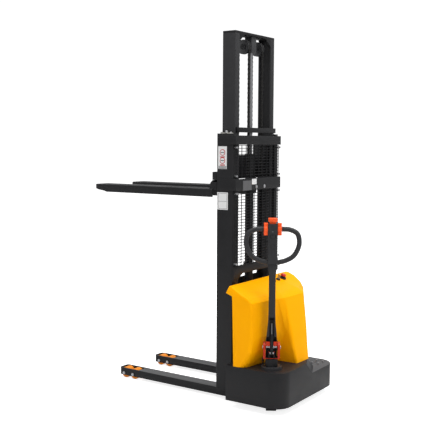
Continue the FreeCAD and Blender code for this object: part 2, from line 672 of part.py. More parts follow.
# ---------------------------------------------------------------- hood and what it covers
HOOD_SECTIONS = (
    # height, y of the open front, plan corners (x, y, corner radius) from left round the rear
    (DECK_TOP, -204, ((-398, -285, 60), (-90, -345, 35), (-81, -522, 14), (78, -528, 25), (376, -306, 40))),
    (400.0, -202, ((-398, -338, 30), (-95, -372, 45), (-84, -498, 20), (98, -506, 40), (392, -342, 30))),
    (500.0, -199, ((-398, -350, 22), (-100, -395, 60), (-84, -478, 30), (122, -486, 60), (392, -335, 30))),
    (737.0, -193, ((-398, -344, 15), (-140, -400, 60), (-84, -421, 60), (170, -432, 90), (392, -312, 40))),
    (772.0, -190, ((-398, -306, 25), (-140, -358, 80), (-84, -372, 80), (165, -385, 100), (392, -292, 40))),
    (789.0, -141, ((-396, -268, 30), (-140, -308, 80), (-84, -322, 80), (160, -330, 100), (391, -279, 40))),
    (818.0, -154, ((-392, -212, 20), (-140, -236, 80), (-84, -246, 80), (160, -254, 100), (389, -244, 30))),
    (838.0, -164, ((-388, -172, 6), (-140, -180, 80), (-84, -186, 80), (160, -194, 100), (384, -204, 30))),
)


def soft_outline(corners, z):
    """Closed plan outline with every corner of radius above zero turned into an arc."""
    points = [V(x, y, z) for x, y, _ in corners]
    arcs = []
    for k, here in enumerate(points):
        radius = corners[k][2]
        to_last = (points[k - 1] - here).normalize()
        to_next = (points[(k + 1) % len(points)] - here).normalize()
        half = to_last.getAngle(to_next) / 2
        back = radius / math.tan(half)
        inward = (to_last + to_next).normalize()
        middle = here + inward * (radius / math.sin(half) - radius)
        arcs.append((here + to_last * back, middle, here + to_next * back))
    edges = []
    for k, (first, middle, last) in enumerate(arcs):
        if corners[k][2] > 0:
            edges.append(Part.Arc(first, middle, last).toShape())
        edges.append(Part.LineSegment(last, arcs[(k + 1) % len(arcs)][0]).toShape())
    return Part.Wire(edges)


def inset(corners, by):
    """Plan corners moved inwards by a wall's thickness, with their radii to match."""
    moved = []
    count = len(corners)
    for k in range(count):
        before, here, after = corners[k - 1], corners[k], corners[(k + 1) % count]
        a = V(here[0] - before[0], here[1] - before[1], 0).normalize()
        b = V(after[0] - here[0], after[1] - here[1], 0).normalize()
        inward = (V(-a.y, a.x, 0) + V(-b.y, b.x, 0)).normalize()
        step = by / inward.dot(V(-a.y, a.x, 0))
        turn = a.x * b.y - a.y * b.x
        radius = 0
        if here[2] > 0:
            radius = here[2] - by if turn > 0 else here[2] + by
        moved.append((here[0] + inward.x * step, here[1] + inward.y * step, radius))
    return moved


def hood_solid(wall):
    """Solid under the hood's skin, or under its inner face when wall is its thickness."""
    wires = []
    for height, front, rear in HOOD_SECTIONS if wall == 0 else HOOD_SECTIONS[:-1]:
        scaled = [(x * HOOD_HALF / 398.0, y, radius) for x, y, radius in rear]
        corners = [(scaled[0][0], front, 0)] + scaled + [(scaled[-1][0], front, 0)]
        level = height
        if wall:
            corners = inset(corners, wall)
            level = height - wall if height > 780 else max(height, DECK_TOP + 1) - 1
        wires.append(soft_outline(corners, level))
    return Part.makeLoft(wires, True, True)


def hood():
    """Thin moulded cover over batteries and pump, open towards the mast."""
    shell = hood_solid(0).cut(hood_solid(HOOD_WALL))
    window = box(-350, 346, -230, -100, DECK_TOP - 2, 720)
    return shell.cut(window)


def traction_batteries():
    """Two monoblocks side by side under the hood, with their terminals."""
    z = DECK_TOP
    length, width, height = 236.0, 118.0, 200.0
    blocks = []
    for x in (-336.0, 98.0):
        case = rounded(box(x, x + length, -284, -284 + width, z, z + height), (0, 0, 1), 6)
        posts = [rod_z(x + dx, -250, z + height, z + height + 12, 8) for dx in (30, length - 30)]
        blocks.append(fuse([case] + posts))
    return Part.makeCompound(blocks)


def hydraulic_power_unit():
    """Pump motor on its valve block and oil tank."""
    z = DECK_TOP
    tank = box(-60, 60, -480, -330, z, z + 150)
    block = box(-45, 45, -330, -270, z, z + 110)
    motor = rod_y(0, -270, -215, PORT_UP, 48)
    return fuse([tank, block, motor])


def motor_controller():
    z = DECK_TOP
    plate = box(-75, 95, -470, -330, z + 170, z + 178)
    case = box(-60, 80, -460, -340, z + 178, z + 240)
    fins = [box(-60 + 20 * k, -54 + 20 * k, -460, -340, z + 240, z + 252) for k in range(8)]
    feet = [box(x, x + 8, -470, -330, z, z + 170) for x in (-75, 87)]
    return fuse([plate, case] + fins + feet)


def hydraulic_hose():
    """Pressure hose from the pump block down to the cylinder's oil port."""
    y = -OUTER_DEPTH + 3
    path = round_path([(0, -215, PORT_UP), (0, y, PORT_UP), (0, y, PORT_Z + 12)], 60)
    return tube_along(path, 6)


def hood_top_z(y):
    """Height of the hood's sloping top at a distance behind the mast."""
    (z_low, _, low), (z_high, _, high) = HOOD_SECTIONS[-2:]
    return z_high + (z_low - z_high) * (y - high[3][1]) / (low[3][1] - high[3][1])


STOP_PLACE = (195.0, -245.0)
KEY_PLACE = (122.0, -249.0)
GAUGE_PLACE = (45.0, -247.0)
TOP_TILT = math.degrees(math.atan2(20.0, 60.0))


def on_hood(shape, place):
    """Stand a piece that was drawn upright at the origin on the hood's sloping top."""
    moved = shape.copy()
    moved.rotate(V(0, 0, 0), V(1, 0, 0), TOP_TILT)
    moved.translate(V(place[0], place[1], hood_top_z(place[1])))
    return moved


def trimmed_to_hood(shape):
    """Cut the underside of a fitting to the hood's surface."""
    return shape.cut(hood_solid(0))


def emergency_stop_base():
    base = rod_z(0, 0, -4, 8, 26).fuse(rod_z(0, 0, 8, 14, 17)).cut(rod_z(0, 0, 2, 15, 8 + RUN_CLEAR))
    return trimmed_to_hood(on_hood(base.removeSplitter(), STOP_PLACE))


def emergency_stop_button():
    cap = rod_z(0, 0, 20, 32, 19)
    cap = cap.makeFillet(4, [e for e in cap.Edges if e.CenterOfMass.z > 31 and e.Length > 50])
    return on_hood(cap.fuse(rod_z(0, 0, 7.5, 20, 8)).removeSplitter(), STOP_PLACE)


def key_switch():
    barrel = rod_z(0, 0, -4, 9, 15).cut(rod_z(0, 0, 2, 10, 5 + RUN_CLEAR))
    return trimmed_to_hood(on_hood(barrel, KEY_PLACE))


def ignition_key():
    blade = rod_z(0, 0, 2.5, 10, 5).fuse(box(-1.5, 1.5, -3, 3, 10, 16)).fuse(box(-1.5, 1.5, -11, 11, 16, 38))
    return on_hood(blade.removeSplitter(), KEY_PLACE)


def battery_gauge():
    case = rounded(box(-26, 26, -17, 17, -4, 6), (0, 0, 1), 5)
    return trimmed_to_hood(on_hood(case, GAUGE_PLACE))


# ---------------------------------------------------------------- drive unit and tiller
def tiller_base():
    """Turning mount above the deck, with a back plate behind the bracket."""
    shaft = rod_z(0, 0, DECK_TOP - 25, DECK_TOP + 15, SLEW_R - 25 - RUN_CLEAR)
    block = rounded(box(-40, 40, -40, 40, DECK_TOP + 15, 360), (0, 0, 1), 10)
    back = box(-38, 38, 31, 37, 350, 452)
    return steered(fuse([shaft, block, back]))


LUG_HALF = 56.0
LUG_T = 15.0


def tiller_bracket():
    """U-shaped bracket with the two lugs that hold the tilt pin."""
    floor = box(-LUG_HALF, LUG_HALF, -30, 30, 360, 367)
    pieces = [floor]
    for side in (-1, 1):
        x0 = -LUG_HALF if side < 0 else LUG_HALF - LUG_T
        outline = [(x0, -30, 360), (x0, 30, 360), (x0, 30, 455), (x0, 14, 470), (x0, -14, 470), (x0, -30, 455)]
        pieces.append(prism(outline, (LUG_T, 0, 0)))
    strut_lug = [box(x, x + 6, SPRING_FOOT[0] - 10, SPRING_FOOT[0] + 10, 367, SPRING_FOOT[1] + 10)
                 for x in (-20, 14)]
    strut_pin = rod_x(-20, 20, SPRING_FOOT[0], SPRING_FOOT[1], 4)
    bracket = fuse(pieces + strut_lug + [strut_pin])
    return steered(bracket.cut(rod_x(-LUG_HALF - 1, LUG_HALF + 1, 0, TILT_PIN_Z, 8)))


def tilt_pin():
    shank = rod_x(-LUG_HALF, LUG_HALF, 0, TILT_PIN_Z, 8)
    heads = [rod_x(s * (LUG_HALF + 3) - 3, s * (LUG_HALF + 3) + 3, 0, TILT_PIN_Z, 11) for s in (-1, 1)]
    return steered(fuse([shank] + heads))


ARM_HALF = 22.0
ARM_FOOT_HALF = 39.0
HEAD_HALF = 32.0
HEAD_LOW = 990.0
ARM_OPEN_TOP = 640.0


def tiller_arm():
    """Box-section arm whose open lower end straddles the gas spring."""
    outline = [(-ARM_FOOT_HALF, 416), (ARM_FOOT_HALF, 416), (ARM_FOOT_HALF, 478), (34, 510), (25, 600),
               (ARM_HALF, 680), (ARM_HALF, 960), (-ARM_HALF, 960), (-ARM_HALF, 680), (-25, 600), (-34, 510),
               (-ARM_FOOT_HALF, 478)]
    arm = prism([(x, -22, z) for x, z in outline], (0, 44, 0))
    arm = arm.cut(box(-17, 17, -23, 13, 510, ARM_OPEN_TOP))
    arm = arm.cut(box(-35, 35, -23, 23, 415, 510))
    taper = [(-ARM_HALF, 930), (ARM_HALF, 930), (HEAD_HALF, HEAD_LOW), (HEAD_HALF, HEAD_LOW + 10),
             (-HEAD_HALF, HEAD_LOW + 10), (-HEAD_HALF, HEAD_LOW)]
    neck = prism([(x, -24, z) for x, z in taper], (0, 48, 0))
    arm = fuse([arm, neck, rod_x(-20, 20, 0, 614, 5)])
    return steered(arm.cut(rod_x(-60, 60, 0, TILT_PIN_Z, 8 + RUN_CLEAR)))


KNOB_Z = 1232.0
KNOB_W = 26.0
STUB_REACH = KNOB_W + 3.0         # head side to the stub shaft's end
STUB_R = 10.0


def tiller_head():
    """Head casing with the stub shafts for the throttle knobs."""
    head = box(-HEAD_HALF, HEAD_HALF, -28, 26, HEAD_LOW + 10, HEAD_TOP)
    head = rounded(head, (0, 0, 1), 7)
    stubs = [rod_x(-HEAD_HALF - STUB_REACH, HEAD_HALF + STUB_REACH, 0, KNOB_Z, STUB_R)]
    head = fuse([head] + stubs)
    head = head.cut(rod_y(0, -29, -14, HORN_Z, HORN_R + RUN_CLEAR))
    pocket = box(-18, 18, -29, -16, ROCKER_Z - 10, ROCKER_Z + 10)
    head = head.cut(pocket).fuse(rod_z(0, ROCKER_PIN_Y, ROCKER_Z - 10, ROCKER_Z + 10, 1.5))
    well = box(-22 - RUN_CLEAR, 22 + RUN_CLEAR, -16 - RUN_CLEAR, 14 + RUN_CLEAR, HEAD_TOP - 26, HEAD_TOP + 1)
    head = head.cut(well)
    return steered(head)


def handle_ring():
    """Closed loop of grip tube: both ends meet the stub shafts, the foot meets the head."""
    left = [(-HEAD_HALF - STUB_REACH, KNOB_Z), (-RING_HALF + 60, KNOB_Z - 4), (-RING_HALF + 15, KNOB_Z - 28),
            (-RING_HALF, KNOB_Z - 72), (-RING_HALF + 5, KNOB_Z - 122), (-RING_HALF + 36, KNOB_Z - 178),
            (-RING_HALF + 84, KNOB_Z - 208), (-HEAD_HALF, KNOB_Z - 226)]
    path = arc_chain([V(x, 0, z) for x, z in left], V(-1, 0, 0), V(0.93, 0, -0.36).normalize())
    grip = tube_along(path, RING_TUBE_R)
    grip = grip.cut(box(-HEAD_HALF, 0, -60, 60, HEAD_LOW - 40, HEAD_LOW + 60))
    return steered(pair(grip))


def throttle_knobs():
    """Butterfly throttle: a wing on each side of the head, on one shaft."""
    x0 = HEAD_HALF + 1
    x1 = x0 + KNOB_W
    wing = rod_x(x0, x1, 0, KNOB_Z, 24).fuse(box(x0, x1, -18, 18, KNOB_Z - 42, KNOB_Z + 42))
    wing = wing.common(rod_x(x0, x1, 0, KNOB_Z, 43)).removeSplitter()
    wing = wing.cut(rod_x(x0 - 1, x1 + 1, 0, KNOB_Z, STUB_R + RUN_CLEAR))
    return steered(pair(wing))


BELLY_TRAVEL = 12.0


def belly_button():
    """Large reversing button on top of the head."""
    cap = box(-30, 30, -24, 22, HEAD_TOP + BELLY_TRAVEL + 1, HEAD_TOP + 38)
    cap = cap.makeFillet(5, [e for e in cap.Edges if e.CenterOfMass.z > HEAD_TOP + 37])
    stem = box(-22, 22, -16, 14, HEAD_TOP - 12, HEAD_TOP + BELLY_TRAVEL + 1)
    return steered(fuse([cap, stem]))


HORN_Z = 1117.0
HORN_R = 11.0
ROCKER_Z = 1184.0
ROCKER_PIN_Y = -22.0


def horn_button():
    return steered(rod_y(0, -32, -18, HORN_Z, HORN_R))


def lift_rocker():
    """Thumb rocker for raising and lowering, on an upright pin in the head's pocket."""
    cap = box(-15, 15, -32, -20, ROCKER_Z - 9, ROCKER_Z + 9)
    cap = cap.cut(rod_z(0, ROCKER_PIN_Y, ROCKER_Z - 10, ROCKER_Z + 10, 1.5 + RUN_CLEAR))
    return steered(cap)


# gas spring: foot pin in the bracket, rod end inside the arm (y, z in the tiller's frame)
SPRING_FOOT = (-30.0, TILT_PIN_Z - 35.0)
SPRING_HEAD = (0.0, 614.0)


def along_spring(start, length, radius):
    """Cylinder along the gas spring's line, from a distance above its foot."""
    way = V(0, SPRING_HEAD[0] - SPRING_FOOT[0], SPRING_HEAD[1] - SPRING_FOOT[1]).normalize()
    foot = V(0, SPRING_FOOT[0], SPRING_FOOT[1]) + way * start
    return Part.makeCylinder(radius, length, foot, way)


def gas_spring_tube():
    tube = along_spring(12, 116, 10).cut(along_spring(16, 107, 8))
    tube = tube.cut(along_spring(120, 10, 5 + RUN_CLEAR))
    eye = rod_x(-8, 8, SPRING_FOOT[0], SPRING_FOOT[1], 11)
    body = fuse([tube, eye]).cut(rod_x(-9, 9, SPRING_FOOT[0], SPRING_FOOT[1], 4 + RUN_CLEAR))
    return steered(body)


def gas_spring_rod():
    piston = along_spring(78, 12, 8 - RUN_CLEAR)
    shaft = along_spring(90, 110, 5)
    return steered(fuse([piston, shaft]))


def drive_motor():
    """Pancake traction motor between the steering bearing and the yoke."""
    return steered(rod_z(0, 0, 228, DECK_TOP - 25, 64))


def drive_yoke():
    """Yoke and reduction gear case beside the drive wheel."""
    crown = box(-54, 54, -45, 45, 214, 228)
    plates = [box(x, x + 12, -40, 40, 62, 214) for x in (-54, 42)]
    gear_case = rod_x(54, 62, 0, DRIVE_WHEEL_R, 48)
    axle = rod_x(-54, 54, 0, DRIVE_WHEEL_R, 15)
    return steered(fuse([crown, axle, gear_case] + plates))


def drive_wheel_hub():
    half = DRIVE_WHEEL_W / 2
    hub = rod_x(-half, half, 0, DRIVE_WHEEL_R, DRIVE_WHEEL_R - 25)
    return steered(hub.cut(rod_x(-half - 1, half + 1, 0, DRIVE_WHEEL_R, 15 + RUN_CLEAR)))


def drive_wheel_tyre():
    half = DRIVE_WHEEL_W / 2
    tyre = rod_x(-half, half, 0, DRIVE_WHEEL_R, DRIVE_WHEEL_R)
    tyre = tyre.makeFillet(5, [e for e in tyre.Edges if isinstance(e.Curve, Part.Circle)])
    return steered(tyre.cut(rod_x(-half - 1, half + 1, 0, DRIVE_WHEEL_R, DRIVE_WHEEL_R - 25)))


def tiller_cable():
    """Loop of control cable that stands up between two holes in the deck."""
    top = DECK_TOP + 52
    ends = ((-262, -352), (-226, -342))
    path = round_path([(*ends[0], DECK_TOP), (*ends[0], top), (*ends[1], top), (*ends[1], DECK_TOP)], 17)
    return tube_along(path, 4)


# ---------------------------------------------------------------- caster
CASTER_BOLT_R = 5.0
CASTER_PLATE_Z = STEP_DECK_TOP - PLATE - 8


def caster_bolt_places():
    return [(CASTER_X + dx, CASTER_Y + dy) for dx in (-28, 44) for dy in (-5, -55)]


def caster_bolt_shanks(radius):
    shanks = [rod_z(x, y, CASTER_PLATE_Z, STEP_DECK_TOP, radius) for x, y in caster_bolt_places()]
    return Part.makeCompound(shanks)


def caster_bolts():
    bolts = []
    for x, y in caster_bolt_places():
        shank = rod_z(x, y, CASTER_PLATE_Z, STEP_DECK_TOP, CASTER_BOLT_R)
        head = rod_z(x, y, STEP_DECK_TOP, STEP_DECK_TOP + 6, CASTER_BOLT_R + 3)
        bolts.append(fuse([shank, head]))
    return Part.makeCompound(bolts)


def caster_plate():
    plate = box(CASTER_X - 48, CASTER_X + 60, CASTER_Y - 72, CASTER_Y + 34, CASTER_PLATE_Z, CASTER_PLATE_Z + 8)
    race = rod_z(CASTER_X, CASTER_Y, CASTER_PLATE_Z - 8, CASTER_PLATE_Z, 23)
    kingpin = rod_z(CASTER_X, CASTER_Y, CASTER_PLATE_Z - 32, CASTER_PLATE_Z - 8, 9)
    body = fuse([plate, race, kingpin])
    return body.cut(caster_bolt_shanks(CASTER_BOLT_R))


def caster_fork():
    """Swivel fork; the wheel trails towards the mast at rest."""
    top = CASTER_PLATE_Z - 8 - GAP
    low = top - 16
    crown = rod_z(CASTER_X, CASTER_Y, low, top, 30)
    axle_y = CASTER_Y + CASTER_TRAIL
    crown = crown.fuse(box(CASTER_X - 30, CASTER_X + 30, CASTER_Y - 10, axle_y + 12, low, low + 8))
    arms = []
    for x0 in (CASTER_X - 30, CASTER_X + 25):
        outline = [(x0, CASTER_Y - 12, low + 8), (x0, axle_y + 12, low + 8),
                   (x0, axle_y + 16, CASTER_WHEEL_R - 8), (x0, axle_y - 14, CASTER_WHEEL_R - 14)]
        arms.append(prism(outline, (5, 0, 0)))
    axle = rod_x(CASTER_X - 33, CASTER_X + 33, axle_y, CASTER_WHEEL_R, 6)
    body = fuse([crown, axle] + arms)
    return body.cut(rod_z(CASTER_X, CASTER_Y, low - 10, top + 1, 9 + RUN_CLEAR))


def caster_wheel():
    axle_y = CASTER_Y + CASTER_TRAIL
    half = CASTER_WHEEL_W / 2
    x = CASTER_X
    tyre = rod_x(x - half, x + half, axle_y, CASTER_WHEEL_R, CASTER_WHEEL_R)
    tyre = tyre.makeFillet(6, [e for e in tyre.Edges if isinstance(e.Curve, Part.Circle)])
    tyre = tyre.cut(rod_x(x - half - 1, x + half + 1, axle_y, CASTER_WHEEL_R, CASTER_WHEEL_R - 16))
    hub = rod_x(x - half, x + half, axle_y, CASTER_WHEEL_R, CASTER_WHEEL_R - 16)
    hub = hub.cut(rod_x(x - half - 1, x + half + 1, axle_y, CASTER_WHEEL_R, 6 + RUN_CLEAR))
    return Part.makeCompound([tyre, hub])


# ---------------------------------------------------------------- build
def build():
    os.makedirs("parts", exist_ok=True)
    nodes = {
        "chassis_body": chassis_body(),
        "leg_frame": leg_frame(),
        "load_wheel_axles": load_wheel_axles(),
        "outer_rails": outer_rails(),
        "mast_crossmembers": Part.makeCompound(mast_bands() + [low_tie()]),
        "mast_wear_pads": wear_pads(),
        "mesh_guard": mesh_guard(),
        "guard_clips": guard_clips(),
        "lift_cylinder_tube": lift_cylinder_tube(),
        "chain_anchors": chain_anchors(),
        "rear_chain_runs": rear_chain_runs(),
        "hood": hood(),
        "traction_batteries": traction_batteries(),
        "hydraulic_power_unit": hydraulic_power_unit(),
        "motor_controller": motor_controller(),
        "hydraulic_hose": hydraulic_hose(),
        "battery_gauge": battery_gauge(),
        "key_switch": key_switch(),
        "ignition_key": ignition_key(),
        "emergency_stop_base": emergency_stop_base(),
        "emergency_stop_button": emergency_stop_button(),
        "slewing_ring": slewing_ring(),
        "tiller_cable": tiller_cable(),
        "caster_plate": caster_plate(),
        "caster_bolts": caster_bolts(),
        "caster_fork": caster_fork(),
        "caster_wheel": caster_wheel(),
        "inner_rails": inner_rails(),
        "inner_crossbars": inner_crossbars(),
        "piston_rod": piston_rod(),
        "rod_head": rod_head(),
        "chain_wheels": chain_wheels(),
        "chain_wraps": chain_wraps(),
        "front_chain_runs": front_chain_runs(),
        "inner_rollers": inner_rollers(),
        "carriage_frame": carriage_frame(),
        "carriage_rollers_low": carriage_rollers(0),
        "carriage_rollers_high": carriage_rollers(1),
        "fork_left": fork(-1),
        "fork_right": fork(1),
        "tiller_base": tiller_base(),
        "tiller_bracket": tiller_bracket(),
        "tilt_pin": tilt_pin(),
        "tiller_arm": tiller_arm(),
        "tiller_head": tiller_head(),
        "handle_ring": handle_ring(),
        "throttle_knobs": throttle_knobs(),
        "belly_button": belly_button(),
        "horn_button": horn_button(),
        "lift_rocker": lift_rocker(),
        "gas_spring_tube": gas_spring_tube(),
        "gas_spring_rod": gas_spring_rod(),
        "drive_motor": drive_motor(),
        "drive_yoke": drive_yoke(),
        "drive_wheel_hub": drive_wheel_hub(),
        "drive_wheel_tyre": drive_wheel_tyre(),
    }
    for side, side_name in ((-1, "left"), (1, "right")):
        for axle_y, place in zip(LOAD_AXLE_Y, ("rear", "front")):
            nodes["load_wheel_" + side_name + "_" + place] = load_wheel(side, axle_y)
    for node, shape in nodes.items():
        export(node, shape)
    return nodes


NODES = build()
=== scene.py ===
"""Looks of the walkie stacker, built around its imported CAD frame.

Metres, +X to the truck's right, +Y along the forks, +Z up. Places come from the CAD
nodes' boxes. Every new piece is made in place, so its object stays at the origin.
"""

import json
import math

import bpy
from mathutils import Matrix, Vector

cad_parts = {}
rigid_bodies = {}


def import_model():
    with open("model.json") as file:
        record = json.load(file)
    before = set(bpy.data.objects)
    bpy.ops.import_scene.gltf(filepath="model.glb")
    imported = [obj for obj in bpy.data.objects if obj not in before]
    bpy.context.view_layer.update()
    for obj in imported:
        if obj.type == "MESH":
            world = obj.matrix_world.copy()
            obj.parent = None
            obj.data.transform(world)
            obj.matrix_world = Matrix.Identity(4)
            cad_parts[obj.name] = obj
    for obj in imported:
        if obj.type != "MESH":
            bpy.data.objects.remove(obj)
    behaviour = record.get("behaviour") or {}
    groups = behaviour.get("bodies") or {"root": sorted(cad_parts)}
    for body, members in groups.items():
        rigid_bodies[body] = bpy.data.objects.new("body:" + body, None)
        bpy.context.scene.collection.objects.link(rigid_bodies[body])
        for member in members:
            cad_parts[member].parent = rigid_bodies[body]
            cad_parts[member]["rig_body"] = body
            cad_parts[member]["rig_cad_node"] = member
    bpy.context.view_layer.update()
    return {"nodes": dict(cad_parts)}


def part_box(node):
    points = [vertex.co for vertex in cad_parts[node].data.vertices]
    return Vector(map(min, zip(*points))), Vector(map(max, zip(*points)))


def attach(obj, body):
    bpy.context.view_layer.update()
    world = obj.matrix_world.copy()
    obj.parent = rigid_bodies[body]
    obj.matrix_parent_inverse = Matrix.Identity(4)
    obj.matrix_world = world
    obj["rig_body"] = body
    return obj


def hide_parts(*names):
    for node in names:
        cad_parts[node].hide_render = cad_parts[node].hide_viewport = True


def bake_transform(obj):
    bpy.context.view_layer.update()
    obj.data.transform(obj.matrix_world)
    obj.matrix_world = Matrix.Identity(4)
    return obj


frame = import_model()
NODES = frame["nodes"]
MM = 0.001


def low(node):
    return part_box(node)[0]


def high(node):
    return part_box(node)[1]


def middle(node):
    return (low(node) + high(node)) / 2


MAST_FRONT = high("outer_rails").y


def at(x, y, z):
    """A place given in millimetres from the mast's front face, as a point of the frame."""
    return Vector((x * MM, MAST_FRONT + y * MM, z * MM))


# ------------------------------------------------------------------ mesh tools
def clear_selection():
    for obj in bpy.context.selected_objects:
        obj.select_set(False)


def take(obj):
    """Make one object the only selected and the active one."""
    clear_selection()
    obj.select_set(True)
    bpy.context.view_layer.objects.active = obj
    return obj


def newest(name):
    obj = bpy.context.active_object
    obj.name = name
    obj.data.name = name
    return obj


def settle(obj):
    """Bring the object's place, turn and size into its mesh."""
    take(obj)
    bpy.ops.object.transform_apply(location=True, rotation=True, scale=True)
    return obj


def apply_modifier(obj, kind, **settings):
    take(obj)
    modifier = obj.modifiers.new(kind.lower(), kind)
    for key, value in settings.items():
        setattr(modifier, key, value)
    bpy.ops.object.modifier_apply(modifier=modifier.name)
    return obj


def bevel(obj, width, segments=2, angle=30):
    return apply_modifier(obj, "BEVEL", width=width, segments=segments, limit_method="ANGLE",
                          angle_limit=math.radians(angle), harden_normals=False)


def smooth(obj, angle=35):
    take(obj)
    bpy.ops.object.shade_smooth_by_angle(angle=math.radians(angle))
    return obj


def block(name, corner, opposite, width=0.002, segments=2):
    """A box between two corners with rounded edges."""
    clear_selection()
    centre = (Vector(corner) + Vector(opposite)) / 2
    bpy.ops.mesh.primitive_cube_add(size=1, location=centre)
    obj = newest(name)
    obj.scale = [abs(b - a) for a, b in zip(corner, opposite)]
    settle(obj)
    if width:
        bevel(obj, width, segments)
    return smooth(obj)


def turned_to(direction):
    return Vector((0, 0, 1)).rotation_difference(Vector(direction)).to_euler()


def disc(name, start, direction, radius, length, width=0.001, sides=32, segments=2):
    """A round bar from a point along a direction, with rounded rims."""
    clear_selection()
    way = Vector(direction).normalized()
    centre = Vector(start) + way * (length / 2)
    bpy.ops.mesh.primitive_cylinder_add(vertices=sides, radius=radius, depth=length, location=centre,
                                        rotation=turned_to(way))
    obj = settle(newest(name))
    if width:
        bevel(obj, width, segments, 40)
    return smooth(obj)


def joined(name, objects):
    clear_selection()
    for obj in objects:
        obj.select_set(True)
    bpy.context.view_layer.objects.active = objects[0]
    if len(objects) > 1:
        bpy.ops.object.join()
    return newest(name)


def copied(node, name=None):
    """A merged copy of a CAD node's mesh, with its flat faces whole again."""
    take(NODES[node])
    bpy.ops.object.duplicate()
    obj = newest(name or node + "_finish")
    obj.parent = None
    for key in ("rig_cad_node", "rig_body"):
        if key in obj:
            del obj[key]
    obj.data.materials.clear()
    take(obj)
    bpy.ops.object.mode_set(mode="EDIT")
    bpy.ops.mesh.select_all(action="SELECT")
    bpy.ops.mesh.remove_doubles(threshold=0.00002)
    bpy.ops.mesh.dissolve_limited(angle_limit=math.radians(0.6))
    bpy.ops.object.mode_set(mode="OBJECT")
    return obj


def body_of(node):
    return NODES[node]["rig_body"]


def dressed(obj, material, body):
    obj.data.materials.clear()
    obj.data.materials.append(material)
    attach(obj, body)
    return obj


def softened(node, material, width=0.0015, segments=2, angle=30, shade=35):
    """The CAD node again with its edges rounded; it stands for the node."""
    obj = copied(node)
    if width:
        bevel(obj, width, segments, angle)
    smooth(obj, shade)
    dressed(obj, material, body_of(node))
    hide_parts(node)
    return obj


def recolour(obj, material, chosen):
    """Give the faces for which chosen(centre, normal) holds another material."""
    obj.data.materials.append(material)
    index = len(obj.data.materials) - 1
    for face in obj.data.polygons:
        if chosen(face.center, face.normal):
            face.material_index = index
    return obj


# ------------------------------------------------------------------ shader groups
def surface_group():
    """Mottled colour, uneven gloss and fine relief that every finish shares."""
    tree = bpy.data.node_groups.new("uneven_surface", "ShaderNodeTree")
    face = tree.interface
    face.new_socket("Vector", in_out="INPUT", socket_type="NodeSocketVector")
    face.new_socket("Colour", in_out="INPUT", socket_type="NodeSocketColor")
    face.new_socket("Second Colour", in_out="INPUT", socket_type="NodeSocketColor")
    for name in ("Mottle Scale", "Mottle", "Roughness", "Roughness Spread", "Grain Scale", "Smudge"):
        face.new_socket(name, in_out="INPUT", socket_type="NodeSocketFloat")
    face.new_socket("Colour", in_out="OUTPUT", socket_type="NodeSocketColor")
    face.new_socket("Roughness", in_out="OUTPUT", socket_type="NodeSocketFloat")
    face.new_socket("Height", in_out="OUTPUT", socket_type="NodeSocketFloat")
    nodes, links = tree.nodes, tree.links
    given = nodes.new("NodeGroupInput")
    result = nodes.new("NodeGroupOutput")

    def noise(scale_socket, detail, rough):
        node = nodes.new("ShaderNodeTexNoise")
        node.inputs["Detail"].default_value = detail
        node.inputs["Roughness"].default_value = rough
        links.new(given.outputs["Vector"], node.inputs["Vector"])
        links.new(scale_socket, node.inputs["Scale"])
        return node

    mottle = noise(given.outputs["Mottle Scale"], 5, 0.6)
    grain = noise(given.outputs["Grain Scale"], 2, 0.5)
    spread = nodes.new("ShaderNodeMath")
    spread.operation = "MULTIPLY_ADD"
    spread.inputs[1].default_value = 2.4
    spread.inputs[2].default_value = -0.7
    spread.use_clamp = True
    links.new(mottle.outputs["Fac"], spread.inputs[0])
    share = nodes.new("ShaderNodeMath")
    share.operation = "MULTIPLY"
    links.new(spread.outputs[0], share.inputs[0])
    links.new(given.outputs["Mottle"], share.inputs[1])
    mix = nodes.new("ShaderNodeMix")
    mix.data_type = "RGBA"
    links.new(share.outputs[0], mix.inputs["Factor"])
    links.new(given.outputs["Colour"], mix.inputs["A"])
    links.new(given.outputs["Second Colour"], mix.inputs["B"])
    links.new(mix.outputs["Result"], result.inputs["Colour"])
    smudge = nodes.new("ShaderNodeMath")
    smudge.operation = "SUBTRACT"
    links.new(grain.outputs["Fac"], smudge.inputs[0])
    smudge.inputs[1].default_value = 0.5
    fine = nodes.new("ShaderNodeMath")
    fine.operation = "MULTIPLY_ADD"
    links.new(smudge.outputs[0], fine.inputs[0])
    links.new(given.outputs["Smudge"], fine.inputs[1])
    links.new(given.outputs["Roughness"], fine.inputs[2])
    rough = nodes.new("ShaderNodeMath")
    rough.operation = "MULTIPLY_ADD"
    rough.use_clamp = True
    links.new(spread.outputs[0], rough.inputs[0])
    links.new(given.outputs["Roughness Spread"], rough.inputs[1])
    links.new(fine.outputs[0], rough.inputs[2])
    links.new(rough.outputs[0], result.inputs["Roughness"])
    links.new(grain.outputs["Fac"], result.inputs["Height"])
    return tree


UNEVEN = surface_group()


